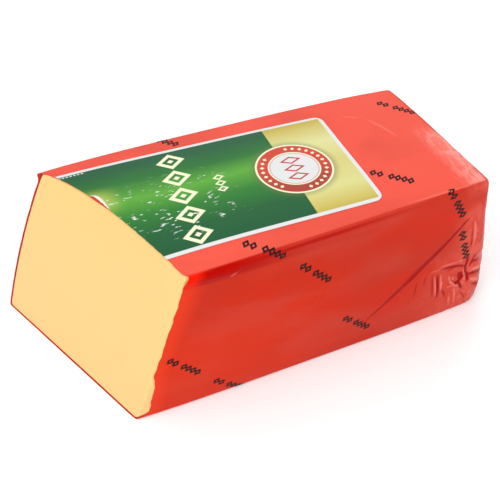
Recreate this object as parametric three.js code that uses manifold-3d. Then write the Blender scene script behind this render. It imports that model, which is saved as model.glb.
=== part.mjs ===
// A part-used catering block of gouda: the pale cheese with its slanted cut face, the red shrink film
// that still covers every side but the cut, and the printed label on top, cut through with the block.
// Millimetres, +Z up. The block lies along X with its cut end towards -X. The origin is the middle of
// the underside of the whole object's bounding box.

import * as THREE from "three";
import Module from "manifold-3d";

const wasm = await Module();
wasm.setup();

// Block
const WIDTH = 100; // across the top at the cut end
const HEIGHT = 90; // floor to the top of the label at the cut end
const NEAR_EDGE_LENGTH = 156; // near top edge, from the cut to the far end
const BASE_FLARE = 2; // how much wider each side is at the floor, at the cut end; none at the far end
const NEAR_BULGE = 1; // how far the near side bellies out at half height
const BACK_BULGE = 2.5; // and the back
const SWELL = 1.2; // how much fuller the block is along its middle, on the sides and the top
const FAR_TAPER = 5; // how much each side closes in at the far end
const FAR_RISE = 3; // how much the top edges climb towards the far end
const CUT_SKEW = THREE.MathUtils.degToRad(25); // turn of the cut, seen from above
const CUT_LEAN = THREE.MathUtils.degToRad(22); // lean of the cut, out towards the floor
const FAR_SKEW = THREE.MathUtils.degToRad(4.5);
const FAR_LEAN = THREE.MathUtils.degToRad(11.5);

// Roundings
const TOP_RADIUS = 2.2; // long top edges
const BASE_RADIUS = 2.2; // long bottom edges
const FAR_RADIUS_TOP = 3; // round the far end, at the top
const FAR_RADIUS_BASE = 18; // and at the floor
const CUT_CROWN = 1.4; // how far the top domes between its edges, at the cut end
const FAR_CROWN = 0.8; // and at the far end

// Wrapping, with the clearance that keeps one piece off the next
const CLEARANCE = 0.3;
const FILM_WALL = 0.5;
const LABEL_THICKNESS = 0.3;
const LABEL_END = 100.6; // the label's far end, along the block from the near top corner of the cut
const LABEL_WIDTH = 74;
const LABEL_OFFSET = -2.9; // middle of the label's far end, across the block
const LABEL_DRIFT = THREE.MathUtils.degToRad(2.4); // how far its long sides run off the block's
const LABEL_RADIUS = 4.5;

const CORNER_STEPS = 4;
const CROWN_STEPS = 8;
const SIDE_STEPS = 6;
const LENGTH_STEPS = 8;
const ROUND_STEPS = 6;

const halfWidth = WIDTH / 2;
const crownHeight = HEIGHT - LABEL_THICKNESS - CLEARANCE;
const edgeHeight = crownHeight - CUT_CROWN;
const lerp = THREE.MathUtils.lerp;

// The plane of the cut, which meets the near top edge at x = 0.
function cutX(y, z) {
  return -(y + halfWidth) * Math.tan(CUT_SKEW) - (edgeHeight - z) * Math.tan(CUT_LEAN);
}

// The plane of the uncut far end.
function farX(y, z) {
  const across = y + halfWidth - FAR_TAPER;
  return NEAR_EDGE_LENGTH - across * Math.tan(FAR_SKEW) + (edgeHeight - z) * Math.tan(FAR_LEAN);
}

function farRadius(z) {
  return lerp(FAR_RADIUS_BASE, FAR_RADIUS_TOP, THREE.MathUtils.clamp(z / edgeHeight, 0, 1));
}

// The block's outline in Y and Z, a share s of the way from the cut to the far end, brought in by inset.
function section(s, inset) {
  const fullness = SWELL * (1 - (2 * THREE.MathUtils.clamp(s, 0, 1) - 1) ** 4);
  const topHalf = halfWidth - FAR_TAPER * s + fullness - inset;
  const floor = inset;
  const edge = edgeHeight + FAR_RISE * s + fullness - inset;
  const crown = lerp(CUT_CROWN, FAR_CROWN, s);
  const foot = floor + BASE_RADIUS;
  const shoulder = edge - TOP_RADIUS;
  // How far a side stands from the middle line, a share up of the way from its foot to its shoulder.
  const flare = BASE_FLARE * (1 - s);
  const side = (up, bulge) => topHalf + flare * (1 - up) + 4 * bulge * up * (1 - up);
  const nearFoot = -side(0, NEAR_BULGE);
  const backFoot = side(0, BACK_BULGE);
  const outline = new THREE.Path();
  outline.moveTo(nearFoot + BASE_RADIUS, floor);
  outline.lineTo(backFoot - BASE_RADIUS, floor);
  outline.quadraticCurveTo(backFoot, floor, backFoot, foot);
  for (let i = 1; i <= SIDE_STEPS; i++) {
    const up = i / SIDE_STEPS;
    outline.lineTo(side(up, BACK_BULGE), lerp(foot, shoulder, up));
  }
  outline.quadraticCurveTo(topHalf, edge, topHalf - TOP_RADIUS, edge);
  const reach = topHalf - TOP_RADIUS;
  for (let i = 1; i <= CROWN_STEPS; i++) {
    const y = lerp(reach, -reach, i / CROWN_STEPS);
    outline.lineTo(y, edge + crown * (1 - (y / reach) ** 4));
  }
  outline.quadraticCurveTo(-topHalf, edge, -topHalf, shoulder);
  for (let i = 1; i <= SIDE_STEPS; i++) {
    const down = 1 - i / SIDE_STEPS;
    outline.lineTo(-side(down, NEAR_BULGE), lerp(foot, shoulder, down));
  }
  outline.quadraticCurveTo(nearFoot, floor, nearFoot + BASE_RADIUS, floor);
  return outline.getPoints(CORNER_STEPS).slice(0, -1);
}

// One closed loaf, inset millimetres inside the film's outer face. It starts a share start of its
// length from the cut: 0 is the cut itself, and a negative share runs out past it.
function loaf(inset, start = 0) {
  const rings = [];
  for (let i = 0; i <= LENGTH_STEPS; i++) {
    const s = lerp(start, 1, i / LENGTH_STEPS);
    const ring = section(s, inset).map(({ x: y, y: z }) => {
      const end = farX(y, z) - farRadius(z) - inset;
      return new THREE.Vector3(lerp(cutX(y, z), end, s), y, z);
    });
    rings.push(ring);
  }
  const middle = (edgeHeight + FAR_RISE) / 2;
  const side = halfWidth - FAR_TAPER;
  for (let i = 1; i <= ROUND_STEPS; i++) {
    const turn = (Math.PI / 2) * (i / ROUND_STEPS);
    const ring = section(1, inset).map(({ x, y: height }) => {
      const radius = farRadius(height);
      const pull = radius * (1 - Math.cos(turn));
      const y = x * (1 - pull / side);
      const z = middle + (height - middle) * (1 - pull / middle);
      return new THREE.Vector3(farX(y, z) - inset - radius * (1 - Math.sin(turn)), y, z);
    });
    rings.push(ring);
  }
  return closedSkin(rings);
}

// Joins rings of equal count into one closed body, with a flat fan over each end.
function closedSkin(rings) {
  const count = rings[0].length;
  const points = rings.flat();
  const first = points.length;
  const last = first + 1;
  points.push(middleOf(rings[0]), middleOf(rings[rings.length - 1]));
  const index = [];
  for (let r = 0; r + 1 < rings.length; r++) {
    for (let i = 0; i < count; i++) {
      const a = r * count + i;
      const b = r * count + ((i + 1) % count);
      index.push(a, b, b + count, a, b + count, a + count);
    }
  }
  const end = (rings.length - 1) * count;
  for (let i = 0; i < count; i++) {
    const next = (i + 1) % count;
    index.push(first, next, i);
    index.push(last, end + i, end + next);
  }
  const skin = new THREE.BufferGeometry().setFromPoints(points);
  skin.setIndex(index);
  return skin;
}

function middleOf(ring) {
  const sum = ring.reduce((total, point) => total.add(point), new THREE.Vector3());
  return sum.divideScalar(ring.length);
}

// Between three.js geometry and manifold-3d's solids.
function toSolid(geometry) {
  return new wasm.Manifold(
    new wasm.Mesh({
      numProp: 3,
      vertProperties: new Float32Array(geometry.attributes.position.array),
      triVerts: new Uint32Array(geometry.index.array),
    }),
  );
}

function toGeometry(solid) {
  const mesh = solid.getMesh();
  const geometry = new THREE.BufferGeometry();
  geometry.setAttribute("position", new THREE.BufferAttribute(mesh.vertProperties, 3));
  geometry.setIndex(new THREE.BufferAttribute(mesh.triVerts, 1));
  geometry.computeVertexNormals();
  return geometry;
}

// Film: the skin between two loaves. The inner one runs out past the cut, which leaves that end open.
function filmGeometry() {
  return toGeometry(toSolid(loaf(0)).subtract(toSolid(loaf(FILM_WALL, -0.05))));
}

// The label's outline from above: rounded at the far end, and running out past the cut, which trims it.
function labelPrism() {
  const half = LABEL_WIDTH / 2;
  const beyondCut = -HEIGHT;
  const outline = [
    [beyondCut, -half],
    ...cornerArc(LABEL_END - LABEL_RADIUS, LABEL_RADIUS - half, -Math.PI / 2),
    ...cornerArc(LABEL_END - LABEL_RADIUS, half - LABEL_RADIUS, 0),
    [beyondCut, half],
  ].map(([x, y]) => [x, y + LABEL_OFFSET + (LABEL_END - x) * Math.tan(LABEL_DRIFT)]);
  const low = outline.map(([x, y]) => new THREE.Vector3(x, y, HEIGHT / 2));
  const high = outline.map(([x, y]) => new THREE.Vector3(x, y, HEIGHT * 1.5));
  return closedSkin([low, high]);
}

function cornerArc(x, y, from) {
  const points = [];
  for (let i = 0; i <= CORNER_STEPS; i++) {
    const turn = from + (Math.PI / 2) * (i / CORNER_STEPS);
    points.push([x + LABEL_RADIUS * Math.cos(turn), y + LABEL_RADIUS * Math.sin(turn)]);
  }
  return points;
}

// Label: the same kind of skin just outside the film, kept only inside its outline.
function labelGeometry() {
  const upper = toSolid(loaf(-(CLEARANCE + LABEL_THICKNESS)));
  const lower = toSolid(loaf(-CLEARANCE, -0.05));
  return toGeometry(upper.subtract(lower).intersect(toSolid(labelPrism())));
}

function piece(name, geometry, color, roughness) {
  const mesh = new THREE.Mesh(
    geometry,
    new THREE.MeshStandardMaterial({ color, roughness, metalness: 0 }),
  );
  mesh.name = name;
  return mesh;
}

const block = new THREE.Group();
block.add(piece("cheese_block", toGeometry(toSolid(loaf(FILM_WALL + CLEARANCE))), 0xfadf96, 0.5));
block.add(piece("shrink_film", filmGeometry(), 0xdd4433, 0.25));
block.add(piece("top_label", labelGeometry(), 0x2f7a45, 0.35));

const bounds = new THREE.Box3().setFromObject(block);
const centre = bounds.getCenter(new THREE.Vector3());
block.position.set(-centre.x, -centre.y, -bounds.min.z);

export default block;
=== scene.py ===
# A part-used catering block of gouda, lying on a pale floor: the cheese, the red shrink film that still
# covers all of it but the cut, the marks printed on the film, and the label, cut through with the block.
import math

import bmesh
import bpy
import numpy as np
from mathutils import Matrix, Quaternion, Vector


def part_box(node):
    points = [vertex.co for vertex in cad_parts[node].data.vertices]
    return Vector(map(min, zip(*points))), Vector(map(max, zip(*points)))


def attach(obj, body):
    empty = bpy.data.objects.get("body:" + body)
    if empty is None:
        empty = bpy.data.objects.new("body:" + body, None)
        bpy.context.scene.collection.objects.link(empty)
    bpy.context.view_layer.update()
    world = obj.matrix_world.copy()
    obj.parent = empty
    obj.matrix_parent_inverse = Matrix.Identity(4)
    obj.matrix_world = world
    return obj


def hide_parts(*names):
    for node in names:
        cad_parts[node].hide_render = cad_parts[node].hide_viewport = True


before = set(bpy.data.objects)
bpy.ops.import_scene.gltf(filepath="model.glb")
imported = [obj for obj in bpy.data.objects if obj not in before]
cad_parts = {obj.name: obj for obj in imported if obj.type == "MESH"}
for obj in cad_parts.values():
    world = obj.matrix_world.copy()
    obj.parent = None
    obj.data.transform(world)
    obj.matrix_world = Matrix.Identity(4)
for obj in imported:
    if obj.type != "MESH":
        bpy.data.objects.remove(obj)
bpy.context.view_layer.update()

# The cheese.
# One firm, pale yellow solid pressed in a loaf mould, sliced through at a slant with a long knife or a
# wire. The cut face is bare; a strip of its near side shows where the film has shrunk back.
MM = 0.001  # shapes are worked out in millimetres and made in metres
HALF_WIDTH = 50.0
EDGE_HEIGHT = 88.0  # the long top edges at the cut end
NEAR_EDGE_LENGTH = 156.0
BASE_FLARE = 2.0  # wider at the foot of each side
NEAR_BULGE = 1.0
BACK_BULGE = 2.5
SWELL = 1.2  # fuller between the ends
FAR_TAPER = 5.0  # in from each side
FAR_RISE = 3.0
FAR_SKEW = math.tan(math.radians(4.5))
FAR_LEAN = math.tan(math.radians(11.5))
TOP_RADIUS = 2.2
BASE_RADIUS = 2.2
FAR_RADIUS_TOP = 3.0
FAR_RADIUS_BASE = 18.0
CUT_CROWN = 1.4
FAR_CROWN = 0.8
CHEESE_INSET = 0.62  # in from the film's outer face
CUT_EDGE_RADIUS = 1.1  # of the cheese's edge round the cut
CUT_EDGE_DEPTH = 0.66  # how far that edge falls back from the cut
CUT_BOW = 3.9  # how far the top of the cut bows into the block
CHEESE_COLUMNS = (20, 3, 40, 3, 44, 30)  # half base, base corner, near side, top corner, top, back side


def cut_plane():
    """Unit normal and middle, in millimetres, of the cheese's flat cut face."""
    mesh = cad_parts["cheese_block"].data
    faces = [f for f in mesh.polygons if f.normal.x < -0.7]
    area = sum(f.area for f in faces)
    normal = sum((f.normal * f.area for f in faces), Vector()) / area
    middle = sum((f.center * f.area for f in faces), Vector()) / area
    return np.array(normal.normalized()), np.array(middle) / MM


CUT_NORMAL, CUT_MIDDLE = cut_plane()


def cut_x(y, z):
    """Where the cut lies along the block, at a place across it and a height."""
    across = CUT_NORMAL[1] * (y - CUT_MIDDLE[1]) + CUT_NORMAL[2] * (z - CUT_MIDDLE[2])
    share = np.clip((y + HALF_WIDTH) / (2 * HALF_WIDTH), 0, 1)
    bow = CUT_BOW * np.sin(math.pi * share**1.3) * np.clip(z / EDGE_HEIGHT, 0, 1) ** 3
    return CUT_MIDDLE[0] - across / CUT_NORMAL[0] + bow


NEAR_CORNER = cut_x(-HALF_WIDTH, EDGE_HEIGHT)  # the near top corner of the cut


def far_x(y, z):
    """Where the uncut far end lies."""
    across = y + HALF_WIDTH - FAR_TAPER
    return NEAR_CORNER + NEAR_EDGE_LENGTH - across * FAR_SKEW + (EDGE_HEIGHT - z) * FAR_LEAN


def far_radius(z):
    """Radius of the edge round the far end, at a height."""
    share = np.clip(z / EDGE_HEIGHT, 0, 1)
    return FAR_RADIUS_BASE + (FAR_RADIUS_TOP - FAR_RADIUS_BASE) * share


def curve(a, corner, b, share):
    """Points of a quadratic curve from a to b that bends round a corner."""
    return a * (1 - share) ** 2 + corner * 2 * share * (1 - share) + b * share**2


def top_section(s):
    """Half width, height of the edges and crown of the block's top, at a share of its length."""
    fullness = SWELL * (1 - (2 * np.clip(s, 0, 1) - 1) ** 4)
    half = HALF_WIDTH - FAR_TAPER * s + fullness
    edge = EDGE_HEIGHT + FAR_RISE * s + fullness
    return half, edge, CUT_CROWN + (FAR_CROWN - CUT_CROWN) * s


def outline(shares, inset, steps):
    """Y and Z round the block at each share of its length, from the middle of the base by the near side."""
    s = np.asarray(shares, float)[:, None]
    top_half, edge, crown = top_section(s)
    top_half, edge = top_half - inset, edge - inset
    flare = BASE_FLARE * (1 - s)
    floor = inset + 0 * s
    foot, shoulder = floor + BASE_RADIUS, edge - TOP_RADIUS
    reach = top_half - TOP_RADIUS

    def side(up, bulge):
        return top_half + flare * (1 - up) + 4 * bulge * up * (1 - up)

    def run(count):
        return np.arange(count)[None, :] / count

    near_foot, back_foot = side(0, NEAR_BULGE), side(0, BACK_BULGE)
    half, bend, up, turn, over, down = map(run, steps)
    y = [
        -(near_foot - BASE_RADIUS) * half,
        -curve(near_foot - BASE_RADIUS, near_foot, near_foot, bend),
        -side(up, NEAR_BULGE),
        -curve(top_half, top_half, reach, turn),
        -reach + 2 * reach * over,
        curve(reach, top_half, top_half, turn),
        side(1 - down, BACK_BULGE),
        curve(back_foot, back_foot, back_foot - BASE_RADIUS, bend),
        (back_foot - BASE_RADIUS) * (1 - half),
    ]
    z = [
        floor + 0 * half,
        curve(floor, floor, foot, bend),
        foot + (shoulder - foot) * up,
        curve(shoulder, edge, edge, turn),
        edge + crown * (1 - (2 * over - 1) ** 4),
        curve(edge, edge, shoulder, turn),
        shoulder + (foot - shoulder) * down,
        curve(foot, floor, floor, bend),
        floor + 0 * half,
    ]
    return np.concatenate(y, 1), np.concatenate(z, 1)


def loaf(shares, turns, inset, steps, recess=None):
    """Rings of points over the block: along its length, then round the edge of its far end."""
    y, z = outline(shares, inset, steps)
    s = np.asarray(shares, float)[:, None]
    start, end = cut_x(y, z), far_x(y, z) - far_radius(z) - inset
    if recess:
        start = start + recess(y, z)
    body = np.stack([start + (end - start) * s, y, z], -1)
    width, height = outline([1.0], inset, steps)
    middle, half = (EDGE_HEIGHT + FAR_RISE) / 2, HALF_WIDTH - FAR_TAPER
    turn = np.asarray(turns, float)[:, None] * math.pi / 2
    radius = far_radius(height)
    pull = radius * (1 - np.cos(turn))
    y = width * (1 - pull / half)
    z = middle + (height - middle) * (1 - pull / middle)
    rounding = np.stack([far_x(y, z) - inset - radius * (1 - np.sin(turn)), y, z], -1)
    return np.concatenate([body, rounding])


def place_object(name, data):
    """A new object in the scene."""
    made = bpy.data.objects.new(name, data)
    bpy.context.scene.collection.objects.link(made)
    return made


def make_piece(name, points, faces, slot, node=None, creased=50):
    """A smooth-shaded piece from points in millimetres, on the block's body. It may stand for a node."""
    mesh = bpy.data.meshes.new(name)
    mesh.from_pydata((np.asarray(points) * MM).tolist(), [], faces)
    work = bmesh.new()
    work.from_mesh(mesh)
    bmesh.ops.recalc_face_normals(work, faces=work.faces)
    work.to_mesh(mesh)
    work.free()
    mesh.shade_smooth()
    mesh.set_sharp_from_angle(angle=math.radians(creased))
    piece = place_object(name, mesh)
    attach(piece, "root")
    if node:
        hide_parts(node)
    return piece


def ring_faces(rings, count, first=0):
    """Four-sided faces between closed rings of count points each."""
    faces = []
    for r in range(rings - 1):
        for i in range(count):
            a, b = first + r * count + i, first + r * count + (i + 1) % count
            faces.append((a, b, b + count, a + count))
    return faces


def keep_numbers(mesh, name, values):
    """An attribute with one number for each point of a mesh."""
    mesh.attributes.new(name, "FLOAT", "POINT").data.foreach_set("value", values)


def shader_node(tree, kind, links=(), **settings):
    """A node with its settings made and its inputs linked or set, from (input, value) pairs."""
    node = tree.nodes.new(kind)
    for key, value in settings.items():
        setattr(node, key, value)
    for key, value in links:
        value = getattr(value, "socket", value)
        if isinstance(value, bpy.types.NodeSocket):
            tree.links.new(value, node.inputs[key])
        elif isinstance(value, tuple) and len(value) == 3 and node.inputs[key].type == "RGBA":
            node.inputs[key].default_value = (*value, 1)
        else:
            node.inputs[key].default_value = value
    return node


class Amount:
    """A number that changes over a surface. Arithmetic with it lays down Math nodes."""

    def __init__(self, socket):
        self.socket, self.tree = socket, socket.id_data

    def math(self, operation, *others):
        node = shader_node(self.tree, "ShaderNodeMath", enumerate((self, *others)), operation=operation)
        return Amount(node.outputs[0])

    def __add__(self, other):
        return self.math("ADD", other)

    def __sub__(self, other):
        return self.math("SUBTRACT", other)

    def __mul__(self, other):
        return self.math("MULTIPLY", other)

    def __abs__(self):
        return self.math("ABSOLUTE")

    def over(self, edge, soft):
        """0 below the edge, 1 above it, over a soft width."""
        links = [("Value", self), ("From Min", edge - soft / 2), ("From Max", edge + soft / 2)]
        node = shader_node(self.tree, "ShaderNodeMapRange", links, interpolation_type="SMOOTHSTEP")
        return Amount(node.outputs[0])

    def under(self, edge, soft):
        """1 below the edge, 0 above it."""
        return self.over(edge, soft) * -1 + 1


def ramp(factor, *stops):
    """A ColorRamp's colour, from (place, colour) stops."""
    node = shader_node(factor.tree, "ShaderNodeValToRGB", [(0, factor)])
    elements = node.color_ramp.elements
    while len(elements) < len(stops):
        elements.new(0.5)
    for element, (place, colour) in zip(elements, stops):
        element.position = place
        element.color = (*colour, 1)
    return node.outputs[0]


def mix(factor, a, b):
    """Two colours mixed."""
    links = [(0, factor), (6, a), (7, b)]
    return shader_node(factor.tree, "ShaderNodeMix", links, data_type="RGBA").outputs[2]


def noise(vector, scale, detail=2.0, stretch=None):
    """Noise, scaled per metre and drawn out by axis."""
    tree = vector.id_data
    if stretch:
        vector = shader_node(tree, "ShaderNodeMapping", [(0, vector), (3, stretch)]).outputs[0]
    links = [("Vector", vector), ("Scale", scale), ("Detail", detail)]
    return Amount(shader_node(tree, "ShaderNodeTexNoise", links).outputs[0])


def new_material(name, **uniform):
    """A material, its tree, its Principled shader and its Object coordinates."""
    material = bpy.data.materials.new(name)
    material.use_nodes = True
    tree = material.node_tree
    shader = tree.nodes["Principled BSDF"]
    for key, value in uniform.items():
        shader.inputs[key.replace("_", " ")].default_value = value
    place = tree.nodes.new("ShaderNodeTexCoord").outputs["Object"]
    return material, tree, shader, place


def feed(shader, **values):
    """Links values that change over the surface to a shader's inputs."""
    for key, value in values.items():
        shader.id_data.links.new(getattr(value, "socket", value), shader.inputs[key.replace("_", " ")])


def bump(height, strength, distance):
    """A Bump node's normal. distance is in metres."""
    links = [("Height", height), ("Strength", strength), ("Distance", distance)]
    return shader_node(height.tree, "ShaderNodeBump", links).outputs[0]


def cheese_points():
    """Rings over the cheese, closed by a gently uneven cut face that rounds into its edges."""
    shares = np.concatenate([[0, 0.01, 0.02], np.linspace(0.06, 1, 14)])
    rings = loaf(shares, np.linspace(0.25, 1, 4), CHEESE_INSET, CHEESE_COLUMNS)
    edge = rings[0].copy()
    middle = edge.mean(0)
    size = np.linalg.norm(edge - middle, axis=1)[:, None]
    inward = (middle - edge) / size
    # the flat of the cut, from near its middle out to one radius inside the edge
    shares = np.append(np.linspace(0.98, 0.06, 30), 0)[:, None, None]
    flat = edge + inward * (CUT_EDGE_RADIUS + (size - CUT_EDGE_RADIUS) * shares)
    across, up = flat[..., 1], flat[..., 2]
    wave = 0.22 * np.sin(across / 17 + 1.1) * np.sin(up / 23) + 0.12 * np.sin(up / 7.5 + across / 40)
    flat[..., 0] = cut_x(across, up) + wave * np.clip(np.linalg.norm(flat - edge, axis=-1) / 12, 0, 1)
    # its rounded edge
    back = np.array([CUT_EDGE_DEPTH, 0, 0])
    turn = np.array([0.25, 0.5, 0.75])[:, None, None] * math.pi / 2
    rounded = edge + inward * CUT_EDGE_RADIUS * (1 - np.sin(turn)) + back * (1 - np.cos(turn))
    rings[0] = edge + back
    return np.concatenate([flat, rounded, rings])


def make_cheese():
    points = cheese_points()
    rings, count = points.shape[:2]
    flat = points.reshape(-1, 3)
    ends = [points[0].mean(0), points[-1].mean(0)]
    first, last = len(flat), len(flat) + 1
    faces = ring_faces(rings, count)
    end = (rings - 1) * count
    for i in range(count):
        faces.append((first, (i + 1) % count, i))
        faces.append((last, end + i, end + (i + 1) % count))
    return make_piece("gouda", np.vstack([flat, ends]), faces, "cheese", "cheese_block")


cheese = make_cheese()

material, tree, shader, place = new_material(
    "gouda", Roughness=0.42, Subsurface_Weight=0.35, Subsurface_Scale=0.004, IOR=1.42
)
shader.inputs["Subsurface Radius"].default_value = (1.0, 0.62, 0.22)
cloud = noise(place, 22, 3)
grain = noise(place, 260, 4)
height = Amount(shader_node(tree, "ShaderNodeSeparateXYZ", [(0, place)]).outputs["Z"])
# Towards the top of the cut face the yellow is toned down a little: painted shade, holding back the light
# where the bowed top tilts up.
paste = ramp(height.over(0.045, 0.09), (0.0, (0.88, 0.53, 0.20)), (1.0, (0.84, 0.545, 0.195)))
paste = mix(cloud * 0.35, paste, (0.90, 0.54, 0.215))
feed(shader, Base_Color=paste, Normal=bump(grain + cloud * 3, 0.25, 0.0003))
cheese.data.materials.append(material)

# The film.
# A bag of red, printed shrink film, drawn tight on the block by heat and cut through with it. It is sealed
# across the far end, where its corners have shrunk into gathers, and slack along the near top edge.
FILM_WALL = 0.42
GROOVE_LIMIT = 0.4
COLUMNS = (13, 8, 116, 9, 92, 44)  # on the same runs as the cheese's
RING_STEPS = ((0, 0.6), (7, 1.6), (98, 0.9), (142, 0.6))  # spacing of the rings from each place on
BODY_LENGTH = 174.0  # along the near side, from the cut to where the far end rounds
ROUND_RINGS = 14
END_RINGS = 24
END_MIDDLE = 40.0  # the height that the end's rings close on
SEAL_HEIGHT = 33.0
TEAR_TOP = 31.0  # below this the film's near edge has shrunk back from the cut


def smooth(value, low, high):
    """0 at low and below, 1 at high and above, eased between them."""
    share = np.clip((value - low) / (high - low), 0, 1)
    return share * share * (3 - 2 * share)


def bell(value, middle, width):
    """1 at the middle, falling away to both sides."""
    return np.exp(-(((value - middle) / width) ** 2))


def waves(a, b, length, stretch=1.0, seed=0, count=9):
    """Soft seeded ripples over places (a, b), from about -1 to 1, about length across."""
    draw = np.random.default_rng(seed)
    total = 0
    for _ in range(count):
        way, phase = draw.uniform(0, math.tau, 2)
        pitch = length * draw.uniform(0.7, 1.6)
        total = total + np.sin(math.tau / pitch * (a * math.cos(way) / stretch + b * math.sin(way)) + phase)
    return total / math.sqrt(count)


def ring_shares():
    """Shares of the block's length where the film has its rings."""
    place, shares = 0.0, []
    while place < BODY_LENGTH:
        shares.append(place / BODY_LENGTH)
        place += [step for start, step in RING_STEPS if place >= start][-1]
    return shares + [1.0]


class Relief:
    """How far the film stands off its plain shape, its folds darkened with painted shade and its ridges
    lightened with painted highlights, on one face.
    """

    def __init__(self, a, b, seed):
        self.a, self.b = a, b
        self.draw = np.random.default_rng(seed)
        self.height, self.dark, self.pale = np.zeros((3, *a.shape))

    def place(self, start, end, bow):
        """Share along a bowed line, signed distance from it, and how much of the line is left there."""
        run, rise = end[0] - start[0], end[1] - start[1]
        length = math.hypot(run, rise)
        along = ((self.a - start[0]) * run + (self.b - start[1]) * rise) / length
        across = ((self.b - start[1]) * run - (self.a - start[0]) * rise) / length
        share = np.clip(along / length, 0, 1)
        across = across - bow * 4 * share * (1 - share)
        left = bell(along, share * length, 1.5) * (1 - (2 * share - 1) ** 6)
        return share, across, left

    def crease(self, start, end, bow=0.0, width=0.9, height=0.3, dark=0.0):
        """A ridge, or a groove where height is below zero, which tapers at its ends. A ridge's pale line is
        a painted highlight and a groove's darkness is painted shade.
        """
        share, across, left = self.place(start, end, bow)
        swell = left * np.sin(math.pi * (0.08 + 0.84 * share)) ** 0.6
        self.height += height * swell / (1 + (across / width) ** 2) ** 2
        # painted shade in a groove
        self.dark += dark * swell * bell(across, 0, width)
        # the pale line along a ridge is a painted highlight
        self.pale += max(height, 0) * swell * bell(across, 0, 0.8 * width)

    def fold(self, start, end, bow, height, reach, groove, dark, fade=0.0):
        """The edge of doubled film, which lies on the right of the line and thins out from it. Its dark
        line is painted shadow at the edge, over the doubled film's deeper red.
        """
        share, across, left = self.place(start, end, bow)
        strength = left * (1 - fade * share)
        lap = 1 / (1 + np.exp(np.clip(across / 0.22, -40, 40)))
        self.height += strength * height * lap * np.exp(np.minimum(across, 0) / reach)
        self.height -= strength * groove * bell(across, 0.6, 0.7)
        wide = 0.9 + 0.8 * np.sin(math.pi * share) ** 2
        # painted shadow along the edge of the doubled film
        self.dark += strength * dark * bell(across, 0.3, wide)

    def star(self, centre, arms, width, height, dark):
        """Creases that run out from a gather, as (degrees, from, to) in turn."""
        for degrees, near, far in arms:
            way = (math.cos(math.radians(degrees)), math.sin(math.radians(degrees)))
            start, end = ([c + r * w for c, w in zip(centre, way)] for r in (near, far))
            self.crease(start, end, 0.06 * (far - near), width, height, dark)

    def crinkles(self, centre, spread, count, way, swing, length, height):
        """Short seeded creases about a place, nearly all along one way, in degrees."""
        draw = self.draw
        for _ in range(count):
            a, b = (c + s * draw.normal() for c, s in zip(centre, spread))
            turn = math.radians(way + swing * draw.normal())
            half = length * draw.uniform(0.3, 0.7)
            ends = [(a + k * half * math.cos(turn), b + k * half * math.sin(turn)) for k in (-1, 1)]
            size = height * draw.uniform(0.5, 1.0) * draw.choice([-1, 1])
            bow, width = draw.uniform(-0.15, 0.15) * length, draw.uniform(0.5, 1.0)
            # the grooves among them get painted shade
            self.crease(*ends, bow, width, size, max(0, -size))


def side_swell(x, z, broad, fine):
    """Soft waves of a long side that die away at its edges. Each is a height, length, stretch and seed."""
    inside = smooth(z, 0, 12) * smooth(EDGE_HEIGHT - z, 0, 10)
    swell = broad[0] * waves(x, z, *broad[1:]) * inside
    inside = smooth(z, 0, 8) * smooth(EDGE_HEIGHT - z, 0, 6)
    return swell + fine[0] * waves(x, z, *fine[1:]) * inside


# creases of the near gather: start, end, bow, width, height and, for a groove, darkness, which is painted
# shade in its hollow
NEAR_GATHER = (
    ((107, 44), (107.7, 33.5), 0.3, 0.8, -1.4, 1.3),  # the stem
    ((107.7, 36), (108.4, 28.5), -0.4, 0.7, -1.2, 1.1),
    ((108.2, 30), (110.8, 21), 0.5, 0.8, -1.2, 1.2),
    ((106, 33.5), (108.6, 23), -0.3, 0.7, 0.9),
    ((91.5, 38.2), (107.5, 34), 1.4, 0.8, -1.0, 1.3),  # left of the stem
    ((94, 35.6), (101, 36.2), 0.0, 0.6, -0.6, 0.7),
    ((88, 41), (106, 40), 0.3, 1.2, 0.45),
    ((103.2, 31.5), (105.8, 24.5), 0.5, 1.5, -1.3, 1.5),  # the pocket
    ((106.2, 25), (101.8, 23.4), 0.3, 1.0, -1.2, 1.2),
    ((98.5, 31), (101.5, 27), -0.5, 1.2, 0.4),
    ((104.5, 23.5), (107.8, 16.5), 0.2, 0.8, -0.9, 1.1),
    ((96.7, 33), (105.8, 20.2), -1.8, 0.9, 0.8),
    ((97.5, 32), (105.5, 21.3), -1.4, 0.6, -0.5, 0.6),
    ((109.5, 27), (121, 21.5), 1.5, 1.0, -1.1, 1.3),  # right of the stem
    ((109.7, 31.6), (112.2, 42.5), -0.3, 0.8, -0.8, 1.0),
    ((111, 36), (117, 34.5), 0.4, 0.9, -0.8, 1.0),
    ((113.5, 18.5), (122.5, 9.5), 0.5, 0.8, -0.8, 1.0),
    ((111, 30.5), (119, 27.5), 0.8, 1.2, 1.0),
    ((110.5, 24), (120, 17), 0.4, 1.3, 0.9),
    ((106.1, 67.5), (108.2, 43), 0.3, 0.9, -0.5, 0.5),  # above it
    ((106.9, 69), (109.2, 47), 0.5, 1.2, 0.6),
    ((112.5, 66), (113, 44), 0.5, 0.9, -0.4, 0.3),
    ((86, 38.6), (88.9, 17), 0.2, 0.8, -0.5, 0.6),  # pleats that hang from it to the base
    ((87.3, 37), (90.8, 16.5), 0.3, 0.8, 0.7),
    ((89.4, 37.6), (92.4, 14), 0.3, 0.9, -0.7, 0.9),
    ((91.2, 37), (93.4, 20), 0.3, 0.8, 0.7),
    ((82, 39), (82, 29), 0.2, 0.8, -0.4, 0.5),
    ((77, 37), (76, 22), 0.5, 0.8, -0.45, 0.55),
    ((83.5, 39.5), (92, 38.8), 0.3, 0.7, 0.5),
    ((94, 22.5), (97.6, 13.5), 0.4, 0.8, -0.6, 0.7),
    ((96, 22.9), (101.5, 22.4), 0.2, 0.7, 0.6),
    ((102.2, 20.5), (104.6, 5.5), 0.3, 0.8, 0.6),
    ((99, 20), (101, 5), 0.4, 0.8, 0.4),
    ((107, 15), (112, 5), 0.6, 0.8, -0.5, 0.6),
    ((110, 18), (116, 5), 0.5, 0.8, 0.45),
)


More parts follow.
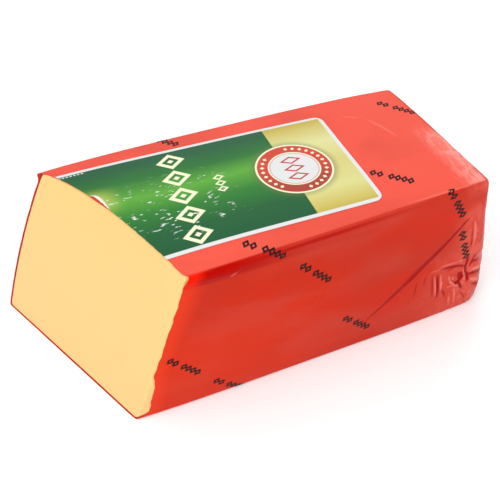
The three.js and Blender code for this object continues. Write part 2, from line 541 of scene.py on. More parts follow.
def near_side(x, z):
    """The near side: one long fold of doubled film, and the gather that its end runs into."""
    side = Relief(x, z, 11)
    side.height += side_swell(x, z, (0.35, 44, 2.6, 3), (0.1, 14, 3.0, 5))
    side.fold((104, 71), (43, 13.2), 0.3, 0.9, 14, 0.3, 2.4, fade=0.84)
    for crease in NEAR_GATHER:
        side.crease(*crease)
    # painted shadow: a darker band along the side just under the slack lip at the near top edge
    side.dark += 0.26 * bell(z, 84.5, 3.5) * smooth(70 - x, 0, 40) * smooth(x + 20, 0, 40)
    side.crinkles((104, 24), (8, 8), 50, 70, 35, 6, 0.26)
    side.crinkles((96, 12), (10, 5), 26, 95, 25, 8, 0.25)
    side.crinkles((111, 50), (3, 12), 22, 88, 12, 9, 0.25)
    side.crinkles((-26, 84.5), (12, 1.6), 16, 14, 12, 7, 0.25)
    # faint drag lines in the middle of the side, darkened with painted shade
    side.crease((-46, 51.5), (3, 67.5), 0.6, 0.6, -0.08, 0.24)
    side.crease((-30, 33), (24, 28), -3.0, 1.6, -0.12, 0.14)
    side.crease((14, 75), (60, 84), 1.0, 1.8, -0.16, 0.12)
    side.crinkles((0, 40), (40, 18), 12, 12, 12, 16, 0.06)
    return side


def slack_lip(x, z):
    """The slack along the near top edge: it bulges out under the edge and dies away from the cut."""
    run = smooth(20 - x, 0, 60)
    return run * (1.1 * bell(z, 85.5, 2.6) - 0.25 * bell(z, 78, 2))


def top_face(x, y):
    """The top: nearly flat, with crinkles towards the near far corner."""
    top = Relief(x, y, 12)
    top.height += 0.12 * waves(x, y, 50, 2.0, 8) + 0.05 * waves(x, y, 14, 2.5, 9) * smooth(x, 60, 80)
    top.crease((95, -32), (99, -44), -0.6, 0.9, 0.3)
    top.crease((102, -34), (108, -43), 0.5, 0.9, -0.3, 0.1)
    top.crease((76, 24), (86, -2), 1.5, 1.6, 0.4)
    top.crease((66, 30), (77, 24), -1.0, 1.4, 0.36)
    top.crease((60, -46.4), (112, -44.6), 0.0, 0.7, 0.45)
    top.crinkles((104, -34), (7, 9), 34, -50, 25, 8, 0.16)
    top.crinkles((106, -10), (4, 16), 16, -70, 20, 8, 0.1)
    top.crinkles((80, -47.5), (22, 1.2), 16, 8, 14, 7, 0.14)
    return top


def back_side(x, z):
    """The back: drag lines along it and the second gather at its far end."""
    side = Relief(x, z, 23)
    side.height += side_swell(x, z, (0.4, 40, 2.4, 21), (0.12, 14, 3.0, 22))
    side.fold((46, 14), (97, 62), -1.8, 0.45, 14, 0.2, 0.4, fade=0.2)
    side.star((104, 32), [(a, 1.5, 9 + 5 * (a % 3)) for a in range(95, 300, 23)], 0.9, -0.5, 0.5)
    side.star((104, 32), [(a, 2, 11 + 4 * (a % 4)) for a in range(106, 290, 31)], 1.2, 0.45, 0)
    side.crinkles((98, 27), (9, 9), 40, 110, 35, 7, 0.2)
    side.crinkles((10, 45), (50, 20), 14, -10, 14, 18, 0.08)
    side.crease((-80, 30), (-20, 47), 2.0, 1.4, -0.16, 0.15)
    side.crease((-70, 62), (10, 66), -2.0, 1.6, 0.16)
    return side


def far_end(y, z):
    """The far end: pleats above and below the seal, deeper towards its two ends."""
    end = Relief(y, z, 32)
    close = bell(z, SEAL_HEIGHT, 16)
    corner = 0.35 + 0.65 * smooth(np.abs(y), 10, 40)
    pleats = np.sin(y / 1.15 + 1.4 * np.sin(y / 6)) + 0.6 * np.sin(y / 2.1 + 1 + z / 30)
    end.height += 0.2 * corner * close * pleats
    end.height += 0.25 * waves(y, z, 36, 1.5, 31)
    for side in (-1, 1):
        grooves = [(90 + side * a, 2, 16 + 6 * (a % 3)) for a in (8, 24, 41, 60, 118, 140, 163)]
        ridges = [(90 + side * a, 2, 18 + 5 * (a % 4)) for a in (16, 33, 50, 72, 107, 128, 151)]
        end.star((side * 41, SEAL_HEIGHT), grooves, 1.1, -0.5, 0.5)
        end.star((side * 41, SEAL_HEIGHT), ridges, 1.2, 0.4, 0)
        end.crinkles((side * 34, 34), (7, 12), 26, 90 - side * 20, 40, 8, 0.2)
    end.crinkles((0, 36), (24, 14), 40, 90, 22, 9, 0.14)
    end.crinkles((0, 74), (24, 8), 12, 90, 30, 10, 0.1)
    return end


def nick_share(y):
    """How much of the nick in the cut edge of the label there is, at a place across the block."""
    return smooth(y, 1, 16) * smooth(19.2 - y, 0, 2)


def cut_recess(y, z):
    """How far behind the cut the film's edge lies, with the small steps of an edge cut by a dull blade."""
    near = smooth(-y, 46, 49)
    shrunk = 3.2 * smooth(TEAR_TOP - z, 0, 12) + 1.8 * np.clip((19 - z) / 16, 0, 1)
    shrunk *= smooth(z, 0, 4) * (1 - smooth(y, -49, -38) * smooth(4 - z, 0, 3))
    jagged = 0.22 * waves(z, y, 9, 1.0, 41) + 0.12 * waves(z, y, 2.6, 1.0, 42)
    corner = 1.2 * bell(z, EDGE_HEIGHT, 2.2) * smooth(-y, 46, 50)
    under_label = 0.4 * smooth(z, 84, 87) * smooth(41 - abs(y), 0, 2) * (1 - nick_share(y))
    flap = -1.85 * bell(z, 87, 3) * smooth(y, 46, 49)
    edge = near * (shrunk + jagged + 0.15) + (1 - near) * (0.12 * jagged - 0.1)
    return edge + corner + under_label + flap


def grid_normals(points):
    """Outward unit normals of a grid whose columns close on themselves."""
    round_way = np.roll(points, -1, 1) - np.roll(points, 1, 1)
    length_way = np.gradient(points, axis=0)
    normal = np.cross(length_way, round_way)
    return normal / np.maximum(np.linalg.norm(normal, axis=-1, keepdims=True), 1e-9)


EDGE_COLUMN = COLUMNS[0] + COLUMNS[1] + COLUMNS[2] + COLUMNS[3] // 2  # along the near top edge
RIM_RINGS = 14  # rings at the cut where the inner skin follows the outer one closely
END_WRAP = 2000.0  # where the end face starts in the wrap coordinates


def plain_film():
    """The film's outer skin before its relief: rings from the cut to a small ring in the far end."""
    rings = loaf(ring_shares(), np.arange(1, ROUND_RINGS + 1) / ROUND_RINGS, 0.0, COLUMNS, cut_recess)
    rim = rings[-1]
    close = 1 - np.linspace(0, 1, END_RINGS + 2)[1:-1, None]
    y = rim[:, 1] * close
    z = END_MIDDLE + (rim[:, 2] - END_MIDDLE) * close
    return np.concatenate([rings, np.stack([far_x(y, z), y, z], -1)])


def film_relief(points, normal):
    """The film's relief, blended from face to face by the way that the film faces."""
    x, y, z = np.moveaxis(points, -1, 0)
    height, dark, pale = np.zeros((3, *x.shape))
    for face, a, b, weight in (
        (near_side, x, z, smooth(-normal[..., 1], 0.25, 0.6)),
        (top_face, x, y, smooth(normal[..., 2], 0.4, 0.8)),
        (back_side, x, z, smooth(normal[..., 1], 0.25, 0.6)),
        (far_end, y, z, smooth(normal[..., 0], 0.4, 0.8)),
    ):
        there = weight > 0
        relief = face(a[there], b[there])
        for total, part in ((height, relief.height), (dark, relief.dark), (pale, relief.pale)):
            total[there] += weight[there] * part
    height += smooth(-y, 40, 46) * slack_lip(x, z)
    return soften(height), dark, pale


def soften(height):
    """Relief with its grooves eased to a stop, so that the film never cuts into the cheese."""
    return np.where(height < 0, -GROOVE_LIMIT * np.tanh(-height / GROOVE_LIMIT), height)


def film_looks(plain, normal, dark, pale):
    """How far the film has each of its looks, at each point of its outer skin. Several are painted light
    and shade: sheen on the top and on crumples, highlights on ridges, shade in folds and grooves, a dark
    reflection along the near top edge, and light over the near side towards the cut and the base.
    """
    x, y, z = np.moveaxis(plain, -1, 0)
    edge = EDGE_HEIGHT + FAR_RISE * (x + 43) / NEAR_EDGE_LENGTH
    # The band is the slack film's deeper red near the cut, with some painted dark reflection; the line
    # along the rounded near top edge is painted dark reflection.
    band = smooth(28 - x, 0, 56) * smooth(z + 0.02 * (10 - x), 81, 84)
    line = bell(z, edge - 1.2, 1.3) * smooth(92 - x, 0, 70)
    # crumpled places, whose lighter, pinker colour in the shader is painted sheen
    low_corner = 0.6 * smooth(x, 74, 100) * smooth(62 - z, 0, 22)
    far_corner = smooth(x, 90, 108) * smooth(84 - z, 0, 14)
    on_end = smooth(normal[..., 0], 0.6, 0.95)
    on_top = smooth(x + 0.08 * y, 92, 104) * smooth(10 - y, 0, 20) * smooth(z, 80, 88)
    by_cut = smooth(plain[:1, :, 0] + 14 - x, 0, 13)
    # painted light, brightening the near side towards the cut and the base
    painted_glow = 0.5 * smooth(50 - x, 0, 80) * smooth(74 - z, 0, 40)
    return {
        # painted shade in folds, grooves and hollows, with the doubled film's deeper red
        "fold": dark,
        # painted highlights along the ridges
        "ridge": pale,
        "slack": smooth(-y, 44, 48) * np.maximum(band, line),
        # facing up: the red is painted lighter there, as sheen and top light
        "top_sheen": smooth(normal[..., 2], 0.8, 0.98),
        # crumpled film, which carries painted sheen
        "crumple_and_sheen": np.maximum(low_corner, far_corner) * (1 - 0.75 * on_end) + on_top,
        # the film's cut edge, brighter, with painted light over the lower near side
        "torn": np.maximum(by_cut, painted_glow) * smooth(-y, 40, 46),
    }


def make_film():
    plain = plain_film()
    rings = len(plain)
    normal = grid_normals(plain)
    height, dark, pale = film_relief(plain, normal)
    outer = plain + normal * height[..., None]
    outer[..., 2] = np.maximum(outer[..., 2], 0)
    keep = sorted({*range(RIM_RINGS), *range(RIM_RINGS, rings, 8), rings - 1})
    close = np.clip(1 - np.array(keep) / RIM_RINGS, 0, 1)[:, None]
    inner = plain[keep] + normal[keep] * (height[keep] * close - FILM_WALL)[..., None]
    middles = [outer[-1].mean(0), inner[-1].mean(0)]
    points = np.vstack([outer.reshape(-1, 3), inner.reshape(-1, 3), middles])
    count = plain.shape[1]
    first, last = rings * count, (rings + len(keep)) * count
    faces = ring_faces(rings, count) + ring_faces(len(keep), count, first)
    for i in range(count):
        j = (i + 1) % count
        faces.append((i, j, first + j, first + i))
        faces.append((first - count + i, first - count + j, last))
        faces.append((last - count + j, last - count + i, last + 1))
    film = make_piece("film_skin", points, faces, "film", "shrink_film", creased=75)
    for name, amount in film_looks(plain, normal, dark, pale).items():
        values = np.zeros(len(points))
        values[:first] = np.clip(amount, 0, 1).ravel()
        keep_numbers(film.data, name, values)
    add_wrap_map(film.data, plain, first)
    return film


def add_wrap_map(mesh, plain, first):
    """The wrap map, in metres: place along the block, and distance up and over from the near top edge."""
    steps = np.linalg.norm(np.diff(plain, axis=0, prepend=plain[:1]), axis=-1)
    along = plain[:1, :, 0] + np.cumsum(steps, axis=0)
    ring = plain[len(plain) // 3]
    gaps = np.linalg.norm(np.roll(ring, -1, 0) - ring, axis=-1)
    round_way = np.concatenate([[0], np.cumsum(gaps)])
    round_way -= round_way[EDGE_COLUMN]
    columns = plain.shape[1]
    flat = len(plain) - END_RINGS
    vertex = np.zeros(len(mesh.loops), int)
    mesh.loops.foreach_get("vertex_index", vertex)
    ring_of, column_of = np.divmod(np.minimum(vertex, first - 1), columns)
    u, v = along[ring_of, column_of], round_way[column_of]
    sizes = np.zeros(len(mesh.polygons), int)
    mesh.polygons.foreach_get("loop_total", sizes)
    face = np.repeat(np.arange(len(sizes)), sizes)

    def touches(corners):
        """Corners of the faces that have any of the given corners."""
        marked = np.zeros(len(sizes), bool)
        marked[face[corners]] = True
        return marked[face]

    v[touches(column_of == columns - 1) & (column_of == 0)] = round_way[-1]
    end = touches(ring_of >= flat)
    u[end] = END_WRAP + plain[ring_of[end], column_of[end], 1]
    v[end] = plain[ring_of[end], column_of[end], 2]
    v[touches(vertex >= first)] -= END_WRAP  # the inner skin's part lies out of the way
    wrap = mesh.uv_layers.new(name="wrap")
    wrap.data.foreach_set("uv", (np.stack([u, v], -1) * MM).ravel())


film = make_film()

material, tree, shader, place = new_material("red shrink film", IOR=1.45, Specular_IOR_Level=0.05)


def attribute(tree, name):
    """A number kept at each point of a mesh."""
    return Amount(shader_node(tree, "ShaderNodeAttribute", attribute_name=name).outputs["Fac"])


fold, ridge, slack, top_sheen, crumple_and_sheen, torn = (
    attribute(tree, name) for name in ("fold", "ridge", "slack", "top_sheen", "crumple_and_sheen", "torn")
)
drawn = noise(place, 30, 2, (0.5, 1, 1))
fine = noise(place, 420, 3, (0.45, 1, 1))
pleats = abs(noise(place, 150, 2, (1, 1, 0.5)) - 0.5).math("POWER", 0.5)
sheen_streaks = abs(noise(place, 300, 3, (1, 0.3, 1)) - 0.5).under(0.05, 0.08)
off_top = top_sheen * -1 + 1
lifted = noise(place, 24, 3, (0.7, 1, 1.6)).over(0.56, 0.22)
# the slack band's red, brighter towards the cut, painted light included
pulled = mix(torn.over(0.6, 0.8), (0.40, 0.0018, 0.0), (0.74, 0.010, 0.0004))
# Where the film faces up its red is lighter and pinker: painted sheen and top light. The sides' red also
# holds a faint painted reflection veil.
red = mix(top_sheen, (0.475, 0.027, 0.012), (0.72, 0.084, 0.054))
for amount, colour in (
    (drawn.over(0.5, 0.4) * off_top * 0.6, (0.58, 0.019, 0.003)),
    (lifted * 0.4, (0.50, 0.058, 0.038)),
    # brighter red by the film's cut edge, and painted light over the lower near side towards the cut
    (torn * off_top * 0.75, (0.74, 0.042, 0.012)),
    # the slack film's deeper red, and along the near top edge a painted dark reflection
    (slack * off_top, pulled),
    # painted sheen and highlight streaks on the crumpled film
    (crumple_and_sheen * (pleats * 0.6 + 0.12), (0.80, 0.17, 0.125)),
    (crumple_and_sheen * top_sheen * (sheen_streaks * 0.45 + 0.25), (0.92, 0.34, 0.30)),
    # painted highlights along the ridges of the creases
    (ridge.over(0.4, 0.6) * 0.6, (0.90, 0.26, 0.21)),
    # painted shade in folds, grooves and hollows: a dark red, partly the doubled film's own deeper red
    (fold.over(0.42, 0.68) * 0.97, (0.32, 0.0, 0.0)),
):
    red = mix(amount, red, colour)
feed(
    shader,
    Base_Color=red,
    Roughness=drawn * 0.14 + 0.18,
    Normal=bump(fine * 0.15 + pleats * crumple_and_sheen, 0.6, 0.0006),
)
film.data.materials.append(material)

# The end seal.
# A band across the far end where the bag's two walls are welded flat by heat, in fine ribs. The bag's
# spare film hangs from it as a short fin, which the shrinking has curled.
SEAL_DEPTH = 8.5
SEAL_REACH = 36.0
SEAL_RIB = 1.3
SEAL_THICK = 0.35


def plate(front, back):
    """Points and faces of a closed sheet between two like grids of points."""
    rows, columns = front.shape[:2]
    points = np.vstack([front.reshape(-1, 3), back.reshape(-1, 3)])
    under = rows * columns
    faces = []
    for r in range(rows - 1):
        for c in range(columns - 1):
            a = r * columns + c
            quad = (a, a + 1, a + columns + 1, a + columns)
            faces += [quad, tuple(under + i for i in quad[::-1])]
    rim = [r * columns for r in range(rows)]
    rim += [(rows - 1) * columns + c for c in range(1, columns)]
    rim += [r * columns + columns - 1 for r in range(rows - 2, -1, -1)]
    rim += list(range(columns - 2, 0, -1))
    for a, b in zip(rim, rim[1:] + rim[:1]):
        faces.append((a, b, under + b, under + a))
    return points, faces


def end_x(y, z):
    """The far end with its rounding towards both sides."""
    radius = far_radius(z)
    beyond = np.clip(np.abs(y) - (HALF_WIDTH - FAR_TAPER - radius), 0, radius * 0.995)
    return far_x(y, z) - radius + np.sqrt(radius**2 - beyond**2)


def make_seal():
    y, down = np.meshgrid(np.linspace(-SEAL_REACH, SEAL_REACH, 220), np.linspace(0, 1, 34))
    outer = smooth(np.abs(y), SEAL_REACH - 14, SEAL_REACH)
    drop = SEAL_DEPTH * (1 - 0.45 * outer) * (1 + 0.06 * waves(y, y, 9, 1.0, 61)) * down
    z = SEAL_HEIGHT + 1.0 + 0.7 * waves(y, y, 30, 1.0, 62) - drop
    ribs = 0.09 * np.sin(math.tau * drop / SEAL_RIB) * smooth(drop, 2.0, 2.6) * smooth(8.2 - drop, 0, 0.6)
    curl = (0.5 + 1.6 * down**2) * (0.6 + 0.4 * waves(y, y, 17, 1.0, 63))
    curl += 0.35 * outer * waves(y, drop, 5, 1.0, 64)
    lift = (0.55 + np.abs(curl) + ribs) * (1 - 0.6 * outer)
    x = end_x(y, z)
    normal = np.stack([np.ones_like(x), np.gradient(x, axis=1) / -np.gradient(y, axis=1), 0 * x], -1)
    normal /= np.linalg.norm(normal, axis=-1, keepdims=True)
    front = np.stack([x, y, z], -1) + normal * lift[..., None]
    return make_piece("film_end_seal", *plate(front, front - normal * SEAL_THICK), "film", creased=40)


seal = make_seal()
seal.data.materials.append(material)

# The printed marks.
# Near-black ink on the film, printed in slanting rows before it was shrunk: two small hollow lozenges, a
# gap and four more, again and again. They go with the film over the block's edges.
MARK_HEIGHT = 5.0
LOZENGE_WIDTH = 3.7
LOZENGE_STROKE = 0.95
SIDE_CUTS = 4
MARK_PLACES = (-9.4, -5.8, 0.0, 3.3, 6.6, 9.9)  # of the lozenges, from the middle of a mark
PRINT_SLANT = -47.0  # degrees from the block's length
INK_LIFT = 0.1


def mark_pattern():
    """One printed mark, flat, in metres, for the node tree to repeat. Its cut-up sides can bend."""
    size = np.array([LOZENGE_WIDTH, MARK_HEIGHT]) / 2
    thin = 1 - LOZENGE_STROKE * math.hypot(*size) / size.prod()
    corners = np.array([(1, 0), (0, 1), (-1, 0), (0, -1)], float)
    sides = list(zip(corners, np.roll(corners, -1, 0)))
    ring = size * [a + (b - a) * k / SIDE_CUTS for a, b in sides for k in range(SIDE_CUTS)]
    points, faces = [], []
    for place in MARK_PLACES:
        faces += ring_faces(2, len(ring), len(points))
        points += [((x + place) * MM, y * MM, 0) for x, y in (*ring, *(ring * thin))]
    mesh = bpy.data.meshes.new("mark pattern")
    mesh.from_pydata(points, [], faces)
    return bpy.data.objects.new("mark pattern", mesh)


def mark_spots():
    """Where the marks are on the wrap map, and their slant: ten placed singly, the rest in rows."""
    spots = [
        (97.5, 77.5, -51), (68, 22, -43), (94, -8, -63), (103.5, -39.5, -73), (18, -22.5, -47),
        (43, -71.5, -45), (-6, 2, -41), (-51, -59, -50), (-29, -85.5, -46), (-28, 99, -47),
    ]
    for row, over in enumerate(range(122, 300, 33)):
        spots += [(along + 22 * (row % 2), over, PRINT_SLANT) for along in range(-90, 112, 56)]
    spots += [(END_WRAP + y, z, PRINT_SLANT) for y, z in ((-24, 72), (16, 60), (-10, 13))]
    mesh = bpy.data.meshes.new("mark spots")
    mesh.from_pydata([(u * MM, v * MM, 0) for u, v, _ in spots], [], [])
    keep_numbers(mesh, "slant", [math.radians(slant) for _, _, slant in spots])
    return mesh


def print_tree():
    """A node tree that repeats a pattern at points on a wrap map and lays it on the wrapped surface."""
    tree = bpy.data.node_groups.new("print on a wrap", "GeometryNodeTree")
    sockets = {}
    kinds = dict(Geometry="Geometry", Pattern="Object", Surface="Object", Lift="Float", Ink="Material")
    for name, kind in kinds.items():
        socket = tree.interface.new_socket(name, in_out="INPUT", socket_type="NodeSocket" + kind)
        sockets[name] = socket.identifier
    tree.interface.new_socket("Geometry", in_out="OUTPUT", socket_type="NodeSocketGeometry")
    given = tree.nodes.new("NodeGroupInput").outputs

    def add(kind, output, links, **settings):
        return shader_node(tree, kind, links, **settings).outputs[output]

    pattern = add("GeometryNodeObjectInfo", "Geometry", [("Object", given["Pattern"])])
    surface = add("GeometryNodeObjectInfo", "Geometry", [("Object", given["Surface"])])
    slant = add("GeometryNodeInputNamedAttribute", "Attribute", [("Name", "slant")], data_type="FLOAT")
    turn = add("ShaderNodeCombineXYZ", 0, [("Z", slant)])
    links = [("Points", given["Geometry"]), ("Instance", pattern), ("Rotation", turn)]
    repeated = add("GeometryNodeInstanceOnPoints", 0, links)
    flat = add("GeometryNodeRealizeInstances", 0, [("Geometry", repeated)])
    wrap = add("GeometryNodeInputNamedAttribute", "Attribute", [("Name", "wrap")], data_type="FLOAT_VECTOR")
    here = tree.nodes.new("GeometryNodeInputPosition").outputs[0]
    outward = tree.nodes.new("GeometryNodeInputNormal").outputs[0]
    # each place of the flat print is looked up on the surface's wrap map, and what is off the map goes
    links = [("Mesh", surface), ("Source UV Map", wrap), ("Sample UV", here)]
    spot, way = (
        shader_node(tree, "GeometryNodeSampleUVSurface", [*links, ("Value", v)], data_type="FLOAT_VECTOR")
        for v in (here, outward)
    )
    links = [(0, way.outputs["Value"]), ("Scale", given["Lift"])]
    lift = add("ShaderNodeVectorMath", 0, links, operation="SCALE")
    place = add("ShaderNodeVectorMath", 0, [(0, spot.outputs["Value"]), (1, lift)], operation="ADD")
    off = add("FunctionNodeBooleanMath", 0, [(0, spot.outputs["Is Valid"])], operation="NOT")
    kept = add("GeometryNodeDeleteGeometry", 0, [("Geometry", flat), ("Selection", off)], domain="POINT")
    laid = add("GeometryNodeSetPosition", 0, [("Geometry", kept), ("Position", place)])
    inked = add("GeometryNodeSetMaterial", 0, [("Geometry", laid), ("Material", given["Ink"])])
    shader_node(tree, "NodeGroupOutput", [("Geometry", inked)])
    return tree, sockets


def make_marks(film, ink):
    marks = place_object("film_marks", mark_spots())
    pattern = mark_pattern()
    tree, sockets = print_tree()
    nodes = marks.modifiers.new("print", "NODES")
    nodes.node_group = tree
    for name, value in (("Pattern", pattern), ("Surface", film), ("Lift", INK_LIFT * MM), ("Ink", ink)):
        nodes[sockets[name]] = value
    solid = marks.modifiers.new("ink depth", "SOLIDIFY")
    solid.thickness = INK_LIFT * MM * 0.8
    solid.offset = -1
    plain = bpy.data.meshes.new_from_object(marks.evaluated_get(bpy.context.evaluated_depsgraph_get()))
    marks.modifiers.clear()
    marks.data = plain
    plain.name = "film_marks"
    bpy.data.objects.remove(pattern)
    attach(marks, "root")
    return marks


ink, tree, shader, place = new_material("black ink on film", Specular_IOR_Level=0.12)
worn = noise(place, 600, 3)
feed(
    shader,
    Base_Color=mix(worn.over(0.6, 0.3) * 0.5, (0.016, 0.003, 0.002), (0.08, 0.006, 0.003)),
    Roughness=worn * 0.3 + 0.3,
)
marks = make_marks(film, ink)

# The label.
# Glossy printed paper, stuck along the top of the block before it was cut: gold at its end, green along
# the rest, white at its edges, a round badge over the join, and rows of lozenges in place of words.
LABEL_AXIS = math.radians(2.4)  # it lies slightly askew
LABEL_HALF = 36.1
LABEL_SPREAD = 0.021  # its edges run apart towards the cut
LABEL_CORNER = 4.4
LABEL_LIFT = 0.12
LABEL_THICK = 0.22
LABEL_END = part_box("top_label")[1][0] / MM - 0.2  # along the block
LABEL_MIDDLE = -2.9  # across the block, at that end
LABEL_ROWS_REACH = 100.0  # how far its rows of points run before they are drawn out to the cut


def film_top(x, y):
    """Height of the film's outer face over a place on the top."""
    z = np.full_like(x, EDGE_HEIGHT + 2)
    for _ in range(2):
        start, end = cut_x(y, z), far_x(y, z) - far_radius(z)
        half, edge, crown = top_section((x - start) / (end - start))
        z = edge + crown * (1 - (y / (half - TOP_RADIUS)) ** 4)
    return z + soften(top_face(x, y).height)


def label_recess(y):
    """The cut label's edge: ragged, and torn back a little at the nick."""
    return 0.1 * waves(y, y, 4, 1.0, 51) + 0.6 * nick_share(y)


def make_label():
    corner = LABEL_CORNER * (1 - np.cos(np.linspace(0, math.pi / 2, 7)))
    back = np.concatenate([corner, np.linspace(LABEL_CORNER + 1.2, LABEL_ROWS_REACH, 88)])[:, None]
    straight = np.maximum(LABEL_CORNER - back, 0)
    inset = LABEL_CORNER - np.sqrt(np.maximum(LABEL_CORNER**2 - straight**2, 0))
    half = LABEL_HALF + LABEL_SPREAD * back
    w = np.linspace(-1, 1, 65)[None, :] * (half - inset)
    askew = math.tan(LABEL_AXIS)
    end = LABEL_END - w * askew * 0.5

    def lay(out):
        x = end - out
        y = w + LABEL_MIDDLE + out * askew
        return x, y, cut_x(y, film_top(x, y)) + label_recess(y)

    # from the rounded corners on, the rows are drawn out to reach the cut
    share = np.clip((back - LABEL_CORNER) / (LABEL_ROWS_REACH - LABEL_CORNER), 0, 1)
    x, y, limit = lay(back)
    for _ in range(3):
        out = np.where(share > 0, LABEL_CORNER + share * (end - limit - LABEL_CORNER), back)
        x, y, limit = lay(out)
    curl = 0.8 * nick_share(y) * smooth(limit - x, -4, 0)
    face = np.stack([x, y, film_top(x, y) + LABEL_LIFT + LABEL_THICK + curl], -1)
    points, faces = plate(face, face - [0, 0, LABEL_THICK])
    label = make_piece("label_sheet", points, faces, "label", "top_label", creased=40)
    flat = np.stack([out, w * LABEL_HALF / half], -1).reshape(-1, 2)
    flat = np.vstack([flat, flat]) * MM
    vertex = np.zeros(len(label.data.loops), int)
    label.data.loops.foreach_get("vertex_index", vertex)
    label.data.uv_layers.new(name="print").data.foreach_set("uv", flat[vertex].ravel())
    bare = (x - limit + 0.4 - 2.1 * nick_share(y)).ravel()
    keep_numbers(label.data, "bare", np.tile(bare, 2))
    return label


label = make_label()

# the print's sizes, in millimetres from the label's end and from its middle line
GOLD_LENGTH = 33.2
WORD_ROWS = (  # middle, count, pitch, half length, half width, stroke and core of the lozenges
    ((86.7, -0.6), 5, 13.4, 7.4, 6.1, 1.9, 0.24),
    ((67.3, 1.8), 3, 4.4, 2.9, 2.1, 0.8, 0.0),
)
WORD_LEAN = 0.077
DASH_PLACE = (133, 33.4)
DASH_PITCH = 1.9
# where the painted highlight lies on the green
HIGHLIGHT_PLACE = (128, 9)
BADGE = (29.9, -0.2)
BADGE_RADIUS = 19.1
BEAD_COUNT = 28
BEAD_RADIUS = 15.6  # of the ring that the beads lie on
WHITE_EDGES = (2.0, 2.1, 1.8)  # at the end, the near side and the far side
SHARP = 0.25  # width of a printed edge
CREAM = (0.73, 0.73, 0.50)
PAPER = (0.61, 0.625, 0.62)
TORN_PAPER = (0.78, 0.74, 0.62)

label_material, tree, shader, place = new_material("glossy label paper", Specular_IOR_Level=0.14)
spot = shader_node(tree, "ShaderNodeUVMap", uv_map="print").outputs[0]
sized = shader_node(tree, "ShaderNodeVectorMath", [(0, spot), ("Scale", 1 / MM)], operation="SCALE")
split = shader_node(tree, "ShaderNodeSeparateXYZ", [(0, sized.outputs[0])])
u, w = Amount(split.outputs["X"]), Amount(split.outputs["Y"])


def lozenge_row(u, w, middle, count, pitch, half_u, half_w, stroke, core=0.0):
    """A row of hollow printed lozenges across the label, each with a small solid core."""
    u, w = u + w * WORD_LEAN - middle[0], w - middle[1]
    start = count * pitch / 2
    each = (w + start).math("FLOORED_MODULO", pitch) - pitch / 2
    steep = half_u * half_w / math.hypot(half_u, half_w)
    depth = (abs(u) * (1 / half_u) + abs(each) * (1 / half_w) - 1) * steep
    ring = depth.under(0, SHARP) * depth.over(-stroke, SHARP)
    if core:
        ring = ring.math("MAXIMUM", depth.under(-steep * (1 - core), SHARP))
    return ring * abs(w).under(start, 0.01)


# ground: green with a bright band along it, then gold at the end
share = w * (1 / 74) + 0.5
drift = noise(spot, 35, 2, (0.5, 1, 1)) - 0.5
green = ramp(
    share + drift * 0.10,
    (0.0, (0.004, 0.078, 0.026)),
    (0.22, (0.005, 0.092, 0.022)),
    (0.42, (0.018, 0.17, 0.018)),
    (0.58, (0.085, 0.32, 0.028)),
    (0.74, (0.014, 0.14, 0.020)),
    (0.90, (0.005, 0.084, 0.026)),
    (1.0, (0.005, 0.076, 0.032)),
)
# painted highlight: a yellow-green patch on the glossy green by the cut
label_highlight = abs(u - HIGHLIGHT_PLACE[0]).under(8, 16) * abs(w - HIGHLIGHT_PLACE[1]).under(6, 12)
green = mix(label_highlight * 0.8, green, (0.50, 0.55, 0.09))
gold = ramp(
    share + drift * 0.06,
    (0.0, (0.40, 0.29, 0.04)),
    (0.08, (0.50, 0.41, 0.09)),
    (0.24, (0.58, 0.56, 0.22)),
    (0.48, (0.56, 0.50, 0.17)),
    (0.72, (0.60, 0.59, 0.27)),
    (0.92, (0.48, 0.39, 0.08)),
    (1.0, (0.38, 0.27, 0.035)),
)
ground = mix(u.under(GOLD_LENGTH, SHARP), green, gold)
# words, as lozenges
large, small = (lozenge_row(u, w, *row) for row in WORD_ROWS)
ground = mix(large.math("MAXIMUM", small), ground, CREAM)
dashes = u.math("FLOORED_MODULO", DASH_PITCH).under(1.2, 0.2)
dashes = dashes * abs(u - DASH_PLACE[0]).under(6.5, 0.2) * abs(w - DASH_PLACE[1]).under(0.45, 0.2)
ground = mix(dashes * 0.8, ground, PAPER)
# scuffs, where the ink has cracked off the paper
patch = noise(spot, 95, 2, (0.6, 1, 1)).over(0.52, 0.08)
speck = noise(spot, 620, 4, (0.42, 1.2, 1)).over(0.615, 0.03)
worn = patch * speck * u.over(66, 16) * abs(w + 5).under(19, 12)
ground = mix(worn, ground, PAPER)
# badge: cream line, red ring with a ring of lozenges, cream line, pale disc with a thin red line
du, dw = u - BADGE[0], w - BADGE[1]
radius = (du * du + dw * dw).math("SQRT")
shadow = radius.under(BADGE_RADIUS + 1.5, 5.0) * 0.55
ground = mix(shadow, ground, (0.10, 0.13, 0.04))
ring_red = mix((w * (-1 / 38) + 0.5).over(0.62, 0.5), (0.52, 0.045, 0.024), (0.34, 0.040, 0.024))
angle = dw.math("ARCTAN2", du)
bead = (angle * (BEAD_COUNT / math.tau)).math("FLOORED_MODULO", 1.0) - 0.5
bead = abs(bead * (math.tau * BEAD_RADIUS / BEAD_COUNT)) * 1.15 + abs(radius - BEAD_RADIUS)
beads = bead.under(1.15, 0.3) * abs(abs(angle) - 1.2).over(0.35, 0.02)
ring_red = mix(beads, ring_red, CREAM)
for edge, colour in (
    (BADGE_RADIUS, CREAM),
    (18.1, ring_red),
    (12.9, CREAM),
    (12.3, PAPER),
    (12.0, (0.55, 0.1, 0.08)),
    (11.7, PAPER),
):
    ground = mix(radius.under(edge, SHARP), ground, colour)
emblem = lozenge_row(du, dw, (0, 0), 3, 6.4, 5.6, 2.9, 0.9)
ground = mix(emblem, ground, (0.45, 0.02, 0.02))
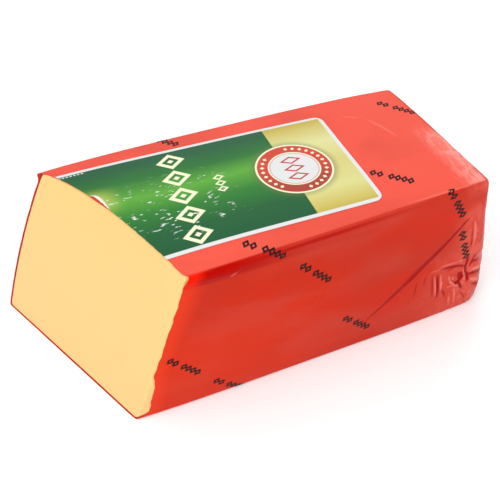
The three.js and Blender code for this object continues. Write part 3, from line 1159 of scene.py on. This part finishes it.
# white edges
inside = (u - WHITE_EDGES[0]).math("SMOOTH_MIN", w + (LABEL_HALF - WHITE_EDGES[1]), 1.2)
inside = inside.math("SMOOTH_MIN", (w - (LABEL_HALF - WHITE_EDGES[2])) * -1, 1.2)
ground = mix(inside.under(0, SHARP), ground, PAPER)
ground = mix(attribute(tree, "bare").under(0, SHARP), ground, TORN_PAPER)
feed(
    shader,
    Base_Color=ground,
    Roughness=worn * 0.35 + drift * 0.15 + 0.3,
    Normal=bump(noise(place, 500, 3), 0.08, 0.0002),
)
label.data.materials.append(label_material)

# The studio: a plain pale floor, one broad soft light above and behind, and softer ones in front.
FLOOR_HALF = 4.0
WORLD_LIGHT = 0.35
floor_mesh = bpy.data.meshes.new("floor")
corners = [(x * FLOOR_HALF, y * FLOOR_HALF, 0) for x, y in ((-1, -1), (1, -1), (1, 1), (-1, 1))]
floor_mesh.from_pydata(corners, [], [(0, 1, 2, 3)])
floor = place_object("floor", floor_mesh)
material, tree, shader, place = new_material("pale floor", Roughness=0.8)
tone = noise(place, 3)
feed(shader, Base_Color=ramp(tone, (0, (0.94, 0.94, 0.94)), (1, (0.96, 0.96, 0.96))))
floor.data.materials.append(material)

world = bpy.data.worlds.new("studio")
bpy.context.scene.world = world
world.use_nodes = True
sky = world.node_tree.nodes["Background"].inputs
sky["Color"].default_value = (1, 1, 1, 1)
sky["Strength"].default_value = WORLD_LIGHT
bpy.context.scene.view_settings.view_transform = "Standard"

low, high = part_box("shrink_film")
centre = (Vector(low) + Vector(high)) / 2


def soft_light(name, direction, distance, size, power):
    """A square area light aimed at the block from a direction."""
    data = bpy.data.lights.new(name, "AREA")
    data.shape = "SQUARE"
    data.size = size
    data.energy = power
    light = place_object(name, data)
    way = Vector(direction).normalized()
    light.location = centre + way * distance
    light.rotation_euler = (-way).to_track_quat("-Z", "Y").to_euler()


soft_light("window", (0.23, 0.68, 0.70), 1.1, 1.0, 5)
soft_light("overhead", (-0.35, -0.25, 1.0), 1.2, 1.2, 11)
soft_light("front left", (-1.0, -0.75, 0.5), 1.2, 0.9, 4)
soft_light("front right", (0.45, -0.8, 0.48), 0.95, 0.28, 2.4)

# The camera looks down on the cut end and the near side.
CAMERA_AZIMUTH = math.radians(-18.77)
CAMERA_ELEVATION = math.radians(44.33)
CAMERA_ROLL = math.radians(-2.36)
CAMERA_DISTANCE = 0.4196
CAMERA_AIM = Vector((0.00213, -0.00201, -0.00125))
CAMERA_LENS = 57.2
data = bpy.data.cameras.new("camera")
data.lens = CAMERA_LENS
data.sensor_width = 36.0
camera = place_object("camera", data)
level = math.cos(CAMERA_ELEVATION)
across, along = math.sin(CAMERA_AZIMUTH) * level, -math.cos(CAMERA_AZIMUTH) * level
back = Vector((across, along, math.sin(CAMERA_ELEVATION)))
camera.location = centre + CAMERA_AIM + back * CAMERA_DISTANCE
camera.rotation_mode = "QUATERNION"
camera.rotation_quaternion = (-back).to_track_quat("-Z", "Y") @ Quaternion((0, 0, 1), CAMERA_ROLL)
bpy.context.scene.camera = camera
